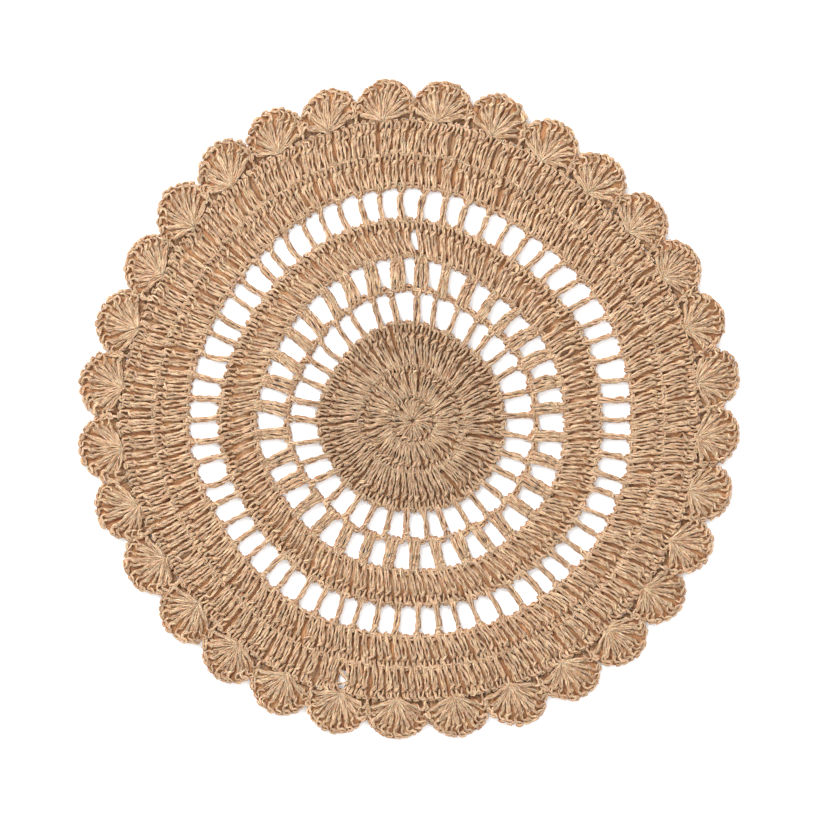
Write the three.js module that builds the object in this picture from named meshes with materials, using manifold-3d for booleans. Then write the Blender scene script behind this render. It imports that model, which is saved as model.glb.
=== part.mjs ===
// A round placemat, crocheted outwards from its middle in plant-fibre twine: a close disc, two lace
// rounds with a chain round between them, a close round, a third lace round, two close rounds, and
// an edging of fan-shaped shells. It lies flat, as one solid, in millimetres, with +Z up.
//
// A spot on the mat is named by its radius and its turn, as if the mat were perfectly round and even.
// place() then pulls that spot to where the hand-made rounds really lie. The mat is a stack of
// closed loops of points, each joined to the next, and bars cross the gaps of the lace rounds.
import * as THREE from 'three';
import { mergeVertices } from 'three/addons/utils/BufferGeometryUtils.js';
import Module from 'manifold-3d';

const FULL_TURN = 2 * Math.PI;

// Heights above the table, in millimetres. Stitch tops stand proud as crests, and posts lie lower.
const HEIGHT = {
  start: 2.8,
  valley: 3.3,
  crest: 4.5,
  hem: 3.1,
  barSide: 1.9,
  barCrown: 3.0,
  clusterRib: 3.1,
  clusterGroove: 2.2,
  shellRib: 4.0,
  shellGroove: 3.0,
  shellCrease: 2.5,
  shellRimRib: 4.3,
  shellRimGroove: 3.8,
  shellEdge: 2.2,
};

// The close rounds, each as loops between its two edges: radius, number of points and height.
const DISC_LOOPS = [
  { radius: 5, points: 12, height: 3.9 },
  { radius: 10, points: 20, height: HEIGHT.valley },
  { radius: 15, points: 24, height: HEIGHT.crest },
  { radius: 23, points: 36, height: HEIGHT.valley },
  { radius: 31.5, points: 44, height: HEIGHT.crest },
  { radius: 43, points: 48, height: HEIGHT.valley },
  { radius: 52.6, points: 68, height: HEIGHT.crest },
];
const CHAIN_LOOPS = [{ radius: 71.5, points: 70, height: 3.9 }];
const MIDDLE_LOOPS = [
  { radius: 90, points: 96, height: 4.2 },
  { radius: 99, points: 96, height: HEIGHT.valley },
  { radius: 108.8, points: 96, height: HEIGHT.crest },
];
const OUTER_LOOPS = [
  { radius: 128.5, points: 96, height: 4.2 },
  { radius: 137.5, points: 96, height: HEIGHT.valley },
  { radius: 147, points: 96, height: HEIGHT.crest },
  { radius: 156.5, points: 96, height: HEIGHT.valley },
];

// The lace rounds. first is the turn of the first gap, in degrees, and widths are those of the bar
// between two gaps, at its foot, above its foot, below its head and at its head.
const LACE = {
  first: {
    bars: 34, inner: 55, outer: 69.4, first: -172.4, seed: 1,
    widths: [6.2, 4.5, 4.0, 5.4],
    heights: [HEIGHT.barSide, HEIGHT.barCrown, HEIGHT.barSide],
  },
  second: {
    bars: 35, inner: 73.6, outer: 88, first: -177, seed: 2,
    widths: [9.4, 8.5, 7.1, 8.6],
    heights: [
      HEIGHT.clusterRib, HEIGHT.clusterGroove, HEIGHT.clusterRib, HEIGHT.clusterGroove, HEIGHT.clusterRib,
    ],
  },
  third: {
    bars: 64, inner: 110.9, outer: 126.4, first: -176.1, seed: 3,
    widths: [6.2, 4.5, 3.8, 5.0],
    heights: [HEIGHT.barSide, HEIGHT.barCrown, HEIGHT.barSide],
  },
};
const BAR_ROWS = [0, 0.18, 0.8, 1];
// How uneven the bars are: their shift along the round and that of their ends in millimetres, and
// the share by which their width varies.
const BAR_SHIFT = 0.9;
const BAR_END_SHIFT = 0.5;
const BAR_WIDTH_SHARE = 0.16;

// The edging: each shell fans out from a base in the last close round to a round scallop. base,
// shoulder, valley and tip are radii, and shoulder is the crest's radius between two shells.
const SHELL = {
  count: 32,
  first: 6.6,
  columns: 10,
  base: 164.6,
  baseSide: 165.6,
  baseSideShare: 0.16,
  shoulder: 167,
  valley: 178.6,
  tip: 190,
  rows: [0.5, 0.88, 1],
  tipSlack: 1,
  seed: 361,
  stitchBump: 0.4,
};

// The one gap in the close rounds that is wider than 4 mm, under the base of a shell.
const SLOT = { radius: 157, turn: 254.5, length: 9, width: 4.6, depth: 20, sides: 10 };

// Where the rounds really lie. The middle sits off centre, and the rounds grow even towards the rim.
const DRIFT = { x: 2.0, y: -6.2, xPerRadius: -0.0055, yPerRadius: 0.0265 };
// How far out of round they are: lobes, size in millimetres, direction in degrees, and the radii from
// which the wave grows and at which it is full.
const WAVES = [
  { lobes: 2, size: 1.25, direction: -60, from: 0, full: 80 },
  { lobes: 3, size: 1.15, direction: -27, from: 0, full: 80 },
  { lobes: 4, size: 0.8, direction: 8, from: 0, full: 80 },
  { lobes: 5, size: 0.95, direction: 29, from: 0, full: 100 },
  { lobes: 6, size: 0.8, direction: 8, from: 130, full: 185 },
  { lobes: 7, size: 0.4, direction: -20, from: 0, full: 80 },
];
// How uneven their spacing is, in degrees of turn, at four radii: one, two and three lobes, each with
// its size and its direction.
const SPACING = [
  { radius: 62, one: [1.17, 119], two: [0.73, 69], three: [0.49, 14] },
  { radius: 81, one: [0.78, 26], two: [1.54, 55], three: [0.43, 25] },
  { radius: 119, one: [0.86, -174], two: [1.15, -89], three: [0.8, -36] },
  { radius: 185, one: [2.56, -70], two: [0.65, 50], three: [0.56, -48] },
];

const radians = THREE.MathUtils.degToRad;

// A repeatable scatter between -1 and 1, from the sine of the number's place in its series.
function scatter(number, seed) {
  const wave = Math.sin(number * 12.9898 + seed * 78.233) * 43758.5453;
  return 2 * (wave - Math.floor(wave)) - 1;
}

// The turn's shift at one row of SPACING: the sum of its lobes, in radians.
function shiftAt(row, turn) {
  return [row.one, row.two, row.three].reduce((sum, [size, direction], i) => {
    const lobes = i + 1;
    return sum + radians(size) * Math.cos(lobes * (turn - radians(direction)));
  }, 0);
}

// The turn's shift at any radius, a straight blend between the two nearest rows of SPACING.
function spacingShift(radius, turn) {
  const last = SPACING.length - 1;
  const next = SPACING.findIndex((row) => row.radius > radius);
  if (next === 0) return shiftAt(SPACING[0], turn);
  if (next === -1) return shiftAt(SPACING[last], turn);
  const [low, high] = [SPACING[next - 1], SPACING[next]];
  const share = (radius - low.radius) / (high.radius - low.radius);
  return shiftAt(low, turn) * (1 - share) + shiftAt(high, turn) * share;
}

// The real place of a spot that has this radius and turn on an even mat.
function place(radius, turn) {
  const angle = turn + spacingShift(radius, turn);
  const reach = WAVES.reduce((sum, { lobes, size, direction, from, full }) => {
    const growth = THREE.MathUtils.clamp((radius - from) / (full - from), 0, 1);
    return sum + growth * size * Math.cos(lobes * (angle - radians(direction)));
  }, radius);
  return {
    x: DRIFT.x + DRIFT.xPerRadius * radius + reach * Math.cos(angle),
    y: DRIFT.y + DRIFT.yPerRadius * radius + reach * Math.sin(angle),
  };
}

// The mat's surface while it grows: points, and triangles that name them.
const points = [];
const faces = [];

function addPoint(radius, turn, height) {
  const { x, y } = place(radius, turn);
  points.push(x, y, height);
  return { index: points.length / 3 - 1, turn };
}

function addQuad(a, b, c, d) {
  faces.push(a.index, b.index, c.index, a.index, c.index, d.index);
}

// A closed loop of even points at one radius and height.
function evenLoop({ radius, points: count, height }) {
  return Array.from({ length: count }, (_, i) => addPoint(radius, (i * FULL_TURN) / count, height));
}

// The turn of a loop's point once the loop has been walked round from start. It keeps growing past
// a full turn, and it begins within half a turn of reference.
function walkedTurn(loop, start, steps, reference) {
  const laps = Math.floor((start + steps) / loop.length);
  const turn = loop[(start + steps) % loop.length].turn + laps * FULL_TURN;
  const begin = loop[start].turn;
  return turn - Math.round((begin - reference) / FULL_TURN) * FULL_TURN;
}

// Triangles between two loops, one outside the other. It walks both, and each time steps on along
// the loop whose next point comes first.
function joinLoops(inner, outer, facesUp) {
  const reference = inner[0].turn;
  const nearness = (point) => Math.cos(point.turn - reference);
  const start = outer.reduce((best, point, i) => (nearness(point) > nearness(outer[best]) ? i : best), 0);
  let innerSteps = 0;
  let outerSteps = 0;
  while (innerSteps < inner.length || outerSteps < outer.length) {
    const here = inner[innerSteps % inner.length];
    const there = outer[(start + outerSteps) % outer.length];
    const innerNext = walkedTurn(inner, 0, innerSteps + 1, reference);
    const outerNext = walkedTurn(outer, start, outerSteps + 1, reference);
    const innerMoves = outerSteps === outer.length || (innerSteps < inner.length && innerNext < outerNext);
    let next;
    if (innerMoves) {
      innerSteps += 1;
      next = inner[innerSteps % inner.length];
    } else {
      outerSteps += 1;
      next = outer[(start + outerSteps) % outer.length];
    }
    const triangle = [here.index, there.index, next.index];
    if (!facesUp) triangle.reverse();
    faces.push(...triangle);
  }
}

// A close round's top: each loop joined to the next, from one edge to the other.
function closeRound(loops) {
  for (let i = 1; i < loops.length; i += 1) joinLoops(loops[i - 1], loops[i], true);
}

// One bar or cluster of a lace round. Its top has a column of points for each height, and its
// underside has its two sides only.
function laceBar(lace, number) {
  const pitch = FULL_TURN / lace.bars;
  const middle = (lace.inner + lace.outer) / 2;
  const [shiftSeed, widthSeed, footSeed, headSeed] = [0, 10, 20, 30].map((series) => lace.seed + series);
  const shift = (BAR_SHIFT * scatter(number, shiftSeed)) / middle;
  const turn = radians(lace.first) + (number - 0.5) * pitch + shift;
  const widthShare = 1 + BAR_WIDTH_SHARE * scatter(number, widthSeed);
  const foot = lace.inner + BAR_END_SHIFT * scatter(number, footSeed);
  const head = lace.outer + BAR_END_SHIFT * scatter(number, headSeed);
  const top = [];
  const under = [];
  BAR_ROWS.forEach((share, row) => {
    const radius = foot + share * (head - foot);
    const width = (lace.widths[row] * widthShare) / radius;
    const atEnd = row === 0 || row === BAR_ROWS.length - 1;
    top.push(
      lace.heights.map((height, column) => {
        const across = column / (lace.heights.length - 1) - 0.5;
        return addPoint(radius, turn + across * width, atEnd ? HEIGHT.hem : height);
      }),
    );
    under.push([addPoint(radius, turn - width / 2, 0), addPoint(radius, turn + width / 2, 0)]);
  });
  return { top, under };
}

function coverBar({ top, under }) {
  const lastColumn = top[0].length - 1;
  for (let row = 1; row < BAR_ROWS.length; row += 1) {
    const [near, far] = [top[row - 1], top[row]];
    const [nearUnder, farUnder] = [under[row - 1], under[row]];
    for (let column = 1; column <= lastColumn; column += 1) {
      addQuad(near[column - 1], far[column - 1], far[column], near[column]);
    }
    addQuad(nearUnder[0], nearUnder[1], farUnder[1], farUnder[0]);
    addQuad(nearUnder[0], farUnder[0], far[0], near[0]);
    addQuad(nearUnder[1], near[lastColumn], far[lastColumn], farUnder[1]);
  }
}

// A lace round: its bars, the walls at both ends of each gap, and the loops that its neighbours join.
function laceRound(lace) {
  const bars = Array.from({ length: lace.bars }, (_, number) => laceBar(lace, number));
  const lastRow = BAR_ROWS.length - 1;
  const lastColumn = lace.heights.length - 1;
  bars.forEach((bar, number) => {
    const next = bars[(number + 1) % lace.bars];
    coverBar(bar);
    addQuad(bar.under[0][1], next.under[0][0], next.top[0][0], bar.top[0][lastColumn]);
    addQuad(
      bar.under[lastRow][1],
      bar.top[lastRow][lastColumn],
      next.top[lastRow][0],
      next.under[lastRow][0],
    );
  });
  return {
    innerTop: bars.flatMap((bar) => bar.top[0]),
    innerUnder: bars.flatMap((bar) => bar.under[0]),
    outerTop: bars.flatMap((bar) => bar.top[lastRow]),
    outerUnder: bars.flatMap((bar) => bar.under[lastRow]),
  };
}

// The scallop of a shell is the arc through its tip and both valleys: the arc's radius, the distance
// of its centre from the mat's middle, and its angle from the tip to a valley.
function scallopArc() {
  const halfWidth = (SHELL.valley * Math.PI) / SHELL.count;
  const rise = SHELL.tip - SHELL.valley;
  const arc = (rise * rise + halfWidth * halfWidth) / (2 * rise);
  return { arc, centre: SHELL.tip - arc, spread: Math.asin(halfWidth / arc) };
}

// A shell's crest, from the valley before it: the crest dips between two shells, and the shell's own
// base is a little nearer to the mat's middle.
function shellCrest(middle, pitch) {
  const side = SHELL.baseSideShare * pitch;
  return [
    addPoint(SHELL.shoulder, middle - pitch / 2, HEIGHT.hem),
    addPoint(SHELL.baseSide, middle - side, HEIGHT.crest),
    addPoint(SHELL.base, middle, HEIGHT.crest),
    addPoint(SHELL.baseSide, middle + side, HEIGHT.crest),
  ];
}

// The crease between two shells, out to their valley: one point in each row.
function shellCrease(turn) {
  const heights = [HEIGHT.shellCrease, HEIGHT.shellCrease, HEIGHT.shellEdge];
  return SHELL.rows.map((share, row) => {
    const radius = SHELL.shoulder + share * (SHELL.valley - SHELL.shoulder);
    return addPoint(radius, turn, heights[row]);
  });
}

// One column of a shell, a rib or a groove, from its base to the rim at this radius and turn.
function shellColumn(middle, isRib, rimRadius, rimShift) {
  const rib = [HEIGHT.shellRib, HEIGHT.shellRimRib, HEIGHT.shellEdge];
  const groove = [HEIGHT.shellGroove, HEIGHT.shellRimGroove, HEIGHT.shellEdge];
  return SHELL.rows.map((share, row) => {
    const radius = SHELL.base + share * (rimRadius - SHELL.base);
    return addPoint(radius, middle + share * rimShift, isRib ? rib[row] : groove[row]);
  });
}

// The loops of the edging: the crest of the last close round, the shells' rows and their underside.
function shellLoops() {
  const pitch = FULL_TURN / SHELL.count;
  const { arc, centre, spread } = scallopArc();
  const crest = [];
  const columns = [];
  const under = [];
  for (let shell = 0; shell < SHELL.count; shell += 1) {
    const middle = radians(SHELL.first) + shell * pitch;
    const tipSlack = SHELL.tipSlack * scatter(shell, SHELL.seed);
    crest.push(...shellCrest(middle, pitch));
    columns.push(shellCrease(middle - pitch / 2));
    under.push(addPoint(SHELL.valley, middle - pitch / 2, 0));
    for (let column = 1; column < SHELL.columns; column += 1) {
      const isRib = column % 2 === 1;
      const bump = isRib ? SHELL.stitchBump : -SHELL.stitchBump;
      const angle = spread * ((2 * column) / SHELL.columns - 1);
      const rimRadius = centre + (arc + tipSlack) * Math.cos(angle) + bump;
      const rimShift = (arc * Math.sin(angle)) / SHELL.valley;
      columns.push(shellColumn(middle, isRib, rimRadius, rimShift));
      under.push(addPoint(rimRadius, middle + rimShift, 0));
    }
  }
  return { crest, rows: SHELL.rows.map((_, row) => columns.map((column) => column[row])), under };
}

// The wall that stands between the underside and the rim's edge.
function rimWall(edge, under) {
  edge.forEach((point, i) => {
    const next = (i + 1) % edge.length;
    addQuad(under[i], under[next], edge[next], point);
  });
}

// The fan of triangles that fills a loop from one point in its middle.
function fillLoop(loop, height, facesUp) {
  const middle = addPoint(0, 0, height);
  loop.forEach((point, i) => {
    const next = loop[(i + 1) % loop.length];
    const triangle = [middle.index, point.index, next.index];
    if (!facesUp) triangle.reverse();
    faces.push(...triangle);
  });
}

function buildMat() {
  const [first, second, third] = [LACE.first, LACE.second, LACE.third].map(laceRound);
  const disc = DISC_LOOPS.map(evenLoop);
  const shells = shellLoops();

  fillLoop(disc[0], HEIGHT.start, true);
  closeRound([...disc, first.innerTop]);
  closeRound([first.outerTop, ...CHAIN_LOOPS.map(evenLoop), second.innerTop]);
  closeRound([second.outerTop, ...MIDDLE_LOOPS.map(evenLoop), third.innerTop]);
  closeRound([third.outerTop, ...OUTER_LOOPS.map(evenLoop), shells.crest, ...shells.rows]);

  fillLoop(first.innerUnder, 0, false);
  joinLoops(first.outerUnder, second.innerUnder, false);
  joinLoops(second.outerUnder, third.innerUnder, false);
  joinLoops(third.outerUnder, shells.under, false);
  rimWall(shells.rows[shells.rows.length - 1], shells.under);

  const geometry = new THREE.BufferGeometry();
  geometry.setAttribute('position', new THREE.Float32BufferAttribute(points, 3));
  geometry.setIndex(faces);
  return geometry;
}

// The long gap under a shell's base, as a prism that stands through the mat.
function buildSlot() {
  const outline = new THREE.Shape();
  outline.absellipse(0, 0, SLOT.length / 2, SLOT.width / 2, 0, FULL_TURN);
  const geometry = new THREE.ExtrudeGeometry(outline, {
    depth: SLOT.depth,
    bevelEnabled: false,
    curveSegments: SLOT.sides / 2,
  });
  const turn = radians(SLOT.turn);
  geometry.rotateZ(turn);
  const { x, y } = place(SLOT.radius, turn);
  return geometry.translate(x, y, -SLOT.depth / 2);
}

function toManifold(wasm, geometry) {
  geometry.deleteAttribute('normal');
  geometry.deleteAttribute('uv');
  const merged = mergeVertices(geometry, 1e-5);
  return new wasm.Manifold(
    new wasm.Mesh({
      numProp: 3,
      vertProperties: merged.attributes.position.array,
      triVerts: new Uint32Array(merged.index.array),
    }),
  );
}

function toGeometry(solid) {
  const mesh = solid.getMesh();
  const geometry = new THREE.BufferGeometry();
  geometry.setAttribute('position', new THREE.BufferAttribute(mesh.vertProperties, 3));
  geometry.setIndex(new THREE.BufferAttribute(mesh.triVerts, 1));
  return geometry;
}

const wasm = await Module();
wasm.setup();
const mat = toGeometry(toManifold(wasm, buildMat()).subtract(toManifold(wasm, buildSlot())));

// The mat lies centred on the origin, with its underside on the table.
mat.computeBoundingBox();
const centre = mat.boundingBox.getCenter(new THREE.Vector3());
mat.translate(-centre.x, -centre.y, 0);

const twine = new THREE.MeshStandardMaterial({ color: 0xbc9676, roughness: 0.85, metalness: 0 });
const placemat = new THREE.Mesh(mat, twine);
placemat.name = 'placemat';

const group = new THREE.Group();
group.add(placemat);

export default group;
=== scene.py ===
"""The looks of a round placemat, crocheted in plant-fibre twine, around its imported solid.

Every round is one long yarn. Its path is the same few points for each stitch, set out round the mat
and then pulled to where the hand-made rounds really lie, and a thin tube is carried along it.
Lengths are in millimetres until a mesh is made. A spot on the mat is named by its radius and its
turn, as if the mat were perfectly round and even, and "level" is a height above the table.
"""

import bpy
import numpy as np
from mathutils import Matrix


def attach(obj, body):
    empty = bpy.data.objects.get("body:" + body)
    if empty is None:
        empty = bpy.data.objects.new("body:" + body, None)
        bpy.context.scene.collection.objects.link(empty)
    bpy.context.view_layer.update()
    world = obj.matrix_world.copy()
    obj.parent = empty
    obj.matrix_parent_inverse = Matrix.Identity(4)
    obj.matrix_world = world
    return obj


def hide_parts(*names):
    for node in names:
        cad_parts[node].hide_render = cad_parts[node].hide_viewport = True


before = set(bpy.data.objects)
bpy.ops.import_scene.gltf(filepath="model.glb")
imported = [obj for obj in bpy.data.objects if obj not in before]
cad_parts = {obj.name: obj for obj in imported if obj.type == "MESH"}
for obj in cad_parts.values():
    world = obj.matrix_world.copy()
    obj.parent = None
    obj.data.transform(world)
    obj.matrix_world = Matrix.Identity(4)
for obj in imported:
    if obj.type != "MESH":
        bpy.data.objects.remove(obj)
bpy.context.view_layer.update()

MM = 0.001
TAU = 2 * np.pi
BODY = "root"
NODE = "placemat"

# The rounds' edges, as radii.
CENTRE_RING = 3.2
FIRST_HEADS = 15.0
SECOND_HEADS = 31.5
DISC_HEADS = 53.2
CHAIN_RING = 71.5
CLUSTER_HEADS = 89.4
MIDDLE_START = CLUSTER_HEADS + 0.8
MIDDLE_HEADS = 109.2
THIRD_CHAINS = 128.5
OUTER_START = 129.0
OUTER_MIDDLE = 147.0
SHELL_BASE = 165.2

# Stitches in the three rounds of the disc and in the last close round. The close rounds between them
# have this many for each post of the third lace round.
DISC_STITCHES = (21, 44, 66)
MIDDLE_STITCHES_PER_POST = 2
OUTER_STITCHES_PER_POST = 3
LAST_STITCHES = 224

# The lace rounds: the number of posts or clusters, the first gap's turn in degrees, a seed, how far
# they are shifted along the round and how uneven they are in width, where they start and end, and
# the chain stitches from one head to the next, with how far these bow outwards.
FIRST_LACE = {
    "bars": 34, "first": -172.4, "seed": 1, "shift": 0.9, "uneven": 0.2,
    "inner": DISC_HEADS, "outer": CHAIN_RING, "chains": 3, "bow": 0.5,
}
CLUSTER_LACE = {
    "bars": 35, "first": -177.0, "seed": 2, "shift": 0.9, "uneven": 0.24,
    "inner": CHAIN_RING + 2.0, "outer": CLUSTER_HEADS, "chains": 3, "bow": 0.0,
}
THIRD_LACE = {
    "bars": 64, "first": -176.1, "seed": 3, "shift": 0.9, "uneven": 0.2,
    "inner": MIDDLE_HEADS, "outer": THIRD_CHAINS, "chains": 2, "bow": 0.6,
}
# From one stitch of a cluster to the next, at the foot and at the head, and how wide each is at the
# foot as a share of that.
CLUSTER_FOOT = 2.6
CLUSTER_HEAD = 1.8
CLUSTER_FOOT_WIDTH = 0.95
# Half the width that a post's head takes up, and what a cluster's head takes up past its stitches.
POST_HEAD = 2.3
CLUSTER_HEAD_END = 1.2
# How far outside the heads of a cluster its chains lie.
CLUSTER_CHAINS = 0.7

# Yarn of two plies side by side, turned slowly: half its width, the section's corners as shares of
# that, and the length in which it turns once. It swells and thins in slow waves, each given as a share
# of the width and a length.
YARN = 0.94
SECTION = np.array([
    (0.92, 0.56), (0.0, 0.47), (-0.92, 0.56), (-0.92, -0.56), (0.0, -0.47), (0.92, -0.56),
])
YARN_TWIST = 19.0
SWELLS = ((0.08, 6.1), (0.07, 17.9), (0.07, 53.0))
# Steps along the yarn: where it bends by more than so many radians, and where it runs straight. No
# more than so many lie between two points of its path.
FINE_STEP = 2.1
COARSE_STEP = 4.6
BEND = 0.45
MOST_STEPS = 6

# Stray fibres: half their width, their number for each millimetre of yarn, shortest and longest
# length, slant off the yarn in radians, bend as a share of their length, how far off the yarn's middle
# they cross it as a share of its half width, and how much their slant tends to lie flat.
FIBRE = 0.14
FIBRES_PER_MM = 0.016
FIBRE_LENGTH = (3.0, 7.0)
FIBRE_TILT = 0.2
FIBRE_BEND = 0.12
FIBRE_OUT = 0.75
FIBRE_FLAT = 0.6
# A stray fibre's rings of points: the share of its length and of its width at each.
FIBRE_RINGS = np.array([(0.0, 0.5), (0.35, 1.0), (0.7, 0.9), (1.0, 0.15)])

# The twine's own map is the share of the way round it, and the length along it. The groove between the
# plies, with its painted shade, lies at this share and half way round from there, and stray fibres take
# the colour that lies at the next.
PLY_LINE = 1 / 6
FIBRE_SHARE = 0.42
# Every yarn starts at another multiple of this length, so that no two of them look alike, and a stray
# fibre has the colour of a place up to so far ahead of its own.
YARN_STRIDE = 1000
FIBRE_STRIDE = 400
# How the fibres show: the length of a streak, how many widths of one lie in half the yarn's width,
# and the length in which the yarn turns lighter or darker.
FIBRE_RUN = 9.0
FIBRE_WIDTHS = 1.5
TONE_RUN = 26.0
# Painted shade: the twine is darkest at this level, where the strands inside lie in shade. This far
# from it the painted shade starts to thin, and this far it is gone.
DARK_LEVEL = 1.6
DEPTH_SHADE_THINS = 0.4
DEPTH_SHADE_GONE = 1.5

# Where the rounds really lie: the middle sits off centre, and the rounds grow even towards the rim.
DRIFT_X, DRIFT_X_GROWTH = 2.0, -0.0055
DRIFT_Y, DRIFT_Y_GROWTH = -6.2, 0.0265
# How far out of round they are: lobes, size, direction in degrees, and the radii from which the wave
# grows and at which it is full.
WAVES = (
    (2, 1.25, -60, 0, 80),
    (3, 1.15, -27, 0, 80),
    (4, 0.80, 8, 0, 80),
    (5, 0.95, 29, 0, 100),
    (6, 0.80, 8, 130, 185),
    (7, 0.40, -20, 0, 80),
)
# How uneven their spacing is, at four radii: the size and the direction of one, two and three lobes,
# in degrees of turn.
SPACING = (
    (62, (1.17, 119), (0.73, 69), (0.49, 14)),
    (81, (0.78, 26), (1.54, 55), (0.43, 25)),
    (119, (0.86, -174), (1.15, -89), (0.80, -36)),
    (185, (2.56, -70), (0.65, 50), (0.56, -48)),
)

# Where stitches are pulled apart into a slot: turn, radius, width and half length.
SLOTS = (
    (254.0, 157.5, 5.8, 6.5),
    (248.5, 158.0, 3.2, 5.5),
    (81.8, 155.0, 3.5, 6.5),
    (72.0, 157.0, 3.3, 6.5),
    (355.8, 157.5, 3.5, 6.0),
    (347.0, 156.0, 3.3, 6.0),
    (162.2, 157.5, 2.8, 6.0),
    (211.0, 155.0, 3.2, 5.5),
    (30.3, 157.0, 3.2, 5.5),
    (51.6, 157.0, 2.8, 5.5),
    (104.2, 157.0, 2.8, 5.5),
    (115.5, 158.0, 3.2, 5.5),
    (126.7, 157.0, 2.6, 5.5),
    (286.2, 135.0, 2.4, 5.5),
    (88.0, 98.0, 3.9, 6.5),
    (22.3, 97.0, 3.0, 6.0),
    (32.0, 93.0, 2.2, 5.0),
)
# This far beside a slot, stitches are still pushed by about a third of that.
SLOT_REACH = 4.0

# How far hand-made stitches stray, as normal scatters. A point of the yarn, in a single stitch, in a
# cluster and in a chain, and the share of that in x, in y and in level:
STITCH_SLACK = 0.18
CLUSTER_SLACK = 0.13
CHAIN_SLACK = 0.12
SLACK_SHARES = (1, 1, 0.6)
# How open a post's two legs stand at the middle, as a share, and the least and most of it:
OPENING = 0.2
OPENING_RANGE = (-0.2, 0.5)
# The heads' distance from the middle, in a close round, in a lace round and in a shell:
ROUND_HEADS = 0.25
LACE_HEADS = 0.3
SHELL_HEADS = 0.2
# The bow of a post, with its mean where it has one:
ROUND_BOW, ROUND_BOW_STRAY = 0.5, 0.3
POST_BOW, POST_BOW_STRAY = 0.2, 0.5
CLUSTER_BOW_STRAY = 0.2
SHELL_BOW_STRAY = 0.35
# How far a post's head lies ahead of its foot, how far a cluster's spread is off, how far the turns of
# the centre ring are off, and a shell stitch's direction in radians:
POST_LEAN = 0.7
CLUSTER_FAN = 0.4
RING_STRAY = 0.1
SHELL_TURN = 0.03
# How far in the feet of three stitches over one gap are drawn, and how far that strays:
FOOT_SAG = (0.7, -0.35, -0.35)
SAG_STRAY = 0.3

# The shells: their number, the first one's turn, and the scallop's valley and tip as radii, the tip
# with a slack of its own for each shell.
SHELLS = 32
FIRST_SHELL = 6.6
VALLEY = 178.6
TIP = 190.0
TIP_SLACK = 1.0
TIP_SEED = 361
# The directions of a shell's stitches from straight out, in degrees, how far the middle of their heads
# lies inside the scallop, how far from the shell's base they start, and how wide they are there.
FAN_TURNS = (-74, -59, -47, -35, -23.5, -11.8, 0, 11.8, 23.5, 35, 47, 59, 72)
RIM_INSET = 1.9
FAN_START = 0.9
FAN_FOOT = 1.3
# Every other stitch of a shell is raised, and those between are lowered.
FAN_LIFTS = (0.35, -0.3)
# How far the stitches clockwise of straight out are pushed together: the mean share of their
# directions, how far it goes up and down, and the seed of that.
SQUEEZE, SQUEEZE_RANGE, SQUEEZE_SEED = 0.93, 0.07, 41
# The slip stitch between two shells: the radius and the level of its points.
SLIP_STITCH = ((171.5, 2.6), (168.0, 3.6), (165.6, 2.2), (166.4, 1.0), (169.5, 1.2), (172.5, 2.4))

# The bed of inner strands: its thickness, and its top where it sinks, at the heads and under the posts.
BED_THICK = 0.4
BED_SUNK = 0.7
BED_HIGH = 1.2
BED_POSTS = 2.0
# Its cells' size, how much wider a slot may pull one before it is left out, and how much sooner than
# that it has sunk all the way.
BED_CELL = 3.0
BED_STRETCH = 2.6
BED_SINKS = 1.3
# Where it lies in the rounds: from which radius to which, and what share of its rise under the posts it
# has there.
BED_ROUNDS = (
    (0.3, FIRST_HEADS, 0.0),
    (FIRST_HEADS, SECOND_HEADS, 0.2),
    (SECOND_HEADS, DISC_HEADS + 0.4, 0.3),
    (CLUSTER_HEADS + 0.6, MIDDLE_HEADS + 0.4, 1.6),
    (OUTER_START + 0.4, OUTER_MIDDLE, 1.0),
    (OUTER_MIDDLE, SHELL_BASE + 0.4, 1.0),
)
# Where it lies in a shell: its directions in degrees, its shares of the way out, the share past which
# it keeps its level, how far inside the scallop it ends, and between which directions it sinks.
FAN_DIRECTIONS = np.linspace(-88, 88, 23)
FAN_SHARES = np.linspace(0.05, 1, 6)
FAN_LEVEL_SHARE = 0.4
FAN_INSET = RIM_INSET * 0.75
FAN_SINKS = (66, 78)
# In the twine's map it lies all along the groove between the plies, so that the groove's painted shade
# darkens all of it, and a radian round the mat is so many millimetres of yarn that its fibres show as
# fine streaks that run outwards.
BED_GRAIN = 900


def scatter(number, seed):
    """A repeatable scatter from -1 to 1: the fraction of a large sine of the number."""
    wave = np.sin(np.asarray(number) * 12.9898 + seed * 78.233) * 43758.5453
    return 2 * (wave - np.floor(wave)) - 1


def spacing_shift(radius, turn):
    """The turn's shift: a sum of cosines of one, two and three times the turn, with sizes that blend
    in a straight line from one row of SPACING to the next."""
    radii = [row[0] for row in SPACING]
    total = np.zeros_like(turn)
    for lobes in (1, 2, 3):
        sizes = np.array([row[lobes][0] for row in SPACING])
        directions = np.radians([lobes * row[lobes][1] for row in SPACING])
        along = np.interp(radius, radii, sizes * np.cos(directions))
        across = np.interp(radius, radii, sizes * np.sin(directions))
        total += np.radians(along * np.cos(lobes * turn) + across * np.sin(lobes * turn))
    return total


def open_slots(radius, turn):
    """The turn, pushed away from each slot's middle by half its width, less further off along the
    round, and only over the slot's length."""
    pushed = turn.copy()
    for at, middle, width, half in SLOTS:
        away = np.angle(np.exp(1j * (turn - np.radians(at)))) * middle
        reach = np.clip(1 - ((radius - middle) / half) ** 2, 0, 1) ** 0.5
        push = np.sign(away) * width / 2 * np.exp(-np.abs(away) / SLOT_REACH)
        pushed += reach * push / middle
    return pushed


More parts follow.
